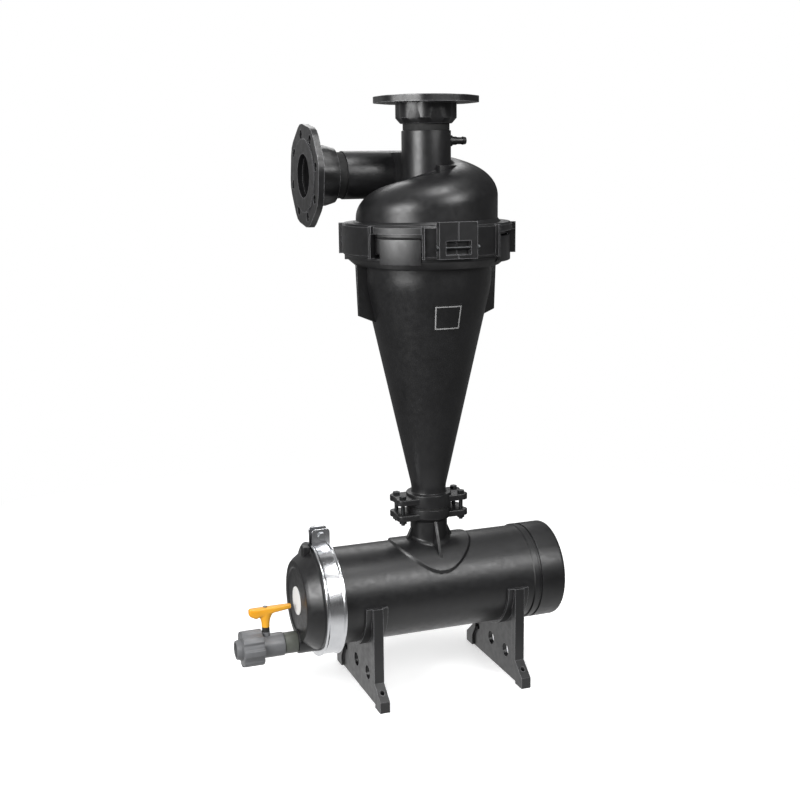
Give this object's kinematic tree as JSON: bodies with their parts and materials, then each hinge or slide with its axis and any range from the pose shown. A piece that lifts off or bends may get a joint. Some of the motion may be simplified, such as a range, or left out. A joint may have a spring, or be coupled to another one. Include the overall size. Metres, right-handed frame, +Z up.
{
  "type": "hydrocyclone",
  "caption": "Upright cone cyclone with a helical head and two flanged pipes, bolted on a lying sediment tank with saddles and a drain valve.",
  "frame": {"origin": "middle of the whole object's box on the floor plane under the saddles", "axes": "+Z up along the cyclone, X along the tank with the drain valve at -X, +Y to the side where the inlet pipe runs"},
  "size_m": [0.6658, 0.3778, 1.162],
  "materials": {
    "black_nylon": "black moulded nylon, satin",
    "black_rubber": "black rubber, matte",
    "bright_steel": "bright stainless sheet",
    "zinc_steel": "zinc-plated steel",
    "grey_pvc": "dark grey PVC, satin",
    "olive_pvc": "grey-green PVC, satin",
    "white_plastic": "white plastic, blank",
    "yellow_plastic": "amber yellow plastic",
    "seat_plastic": "white fluoropolymer"
  },
  "bodies": {
    "housing": {"tank_shell": "black_nylon", "tank_end_cap": "black_nylon", "lid": "black_nylon", "saddle_left": "black_nylon", "saddle_right": "black_nylon", "cone_body": "black_nylon", "clamp_half_left": "black_nylon", "clamp_half_right": "black_nylon", "head_casting": "black_nylon", "vortex_finder": "black_nylon", "gauge_tap": "black_nylon", "inlet_flange": "black_nylon", "outlet_flange": "black_nylon", "lid_gasket": "black_rubber", "underflow_gasket": "black_rubber", "head_gasket": "black_rubber", "inlet_seal": "black_rubber", "outlet_seal": "black_rubber", "union_seal": "black_rubber", "stem_gland": "black_rubber", "band_clamp": "bright_steel", "band_bolt": "zinc_steel", "band_nut": "zinc_steel", "band_trunnion": "zinc_steel", "clamp_bolt_front": "zinc_steel", "clamp_bolt_back": "zinc_steel", "clamp_nut_front": "zinc_steel", "clamp_nut_back": "zinc_steel", "coupling_bolt_1": "zinc_steel", "coupling_bolt_2": "zinc_steel", "coupling_bolt_3": "zinc_steel", "coupling_bolt_4": "zinc_steel", "coupling_nut_1": "zinc_steel", "coupling_nut_2": "zinc_steel", "coupling_nut_3": "zinc_steel", "coupling_nut_4": "zinc_steel", "valve_body": "grey_pvc", "union_tail": "grey_pvc", "union_nut": "grey_pvc", "drain_nipple": "olive_pvc", "lid_disc": "white_plastic", "valve_seat_inner": "seat_plastic", "valve_seat_outer": "seat_plastic"},
    "valve_lever": {"valve_handle": "yellow_plastic", "valve_stem": "grey_pvc", "valve_ball": "seat_plastic", "handle_screw": "zinc_steel"}
  },
  "joints": [
    {"name": "valve_turn", "type": "hinge", "parent": "housing", "child": "valve_lever", "pos_m": [-0.2721, -0.01609, 0.115], "axis": [0, 0, 1], "range_deg": [0, 90]}
  ]
}
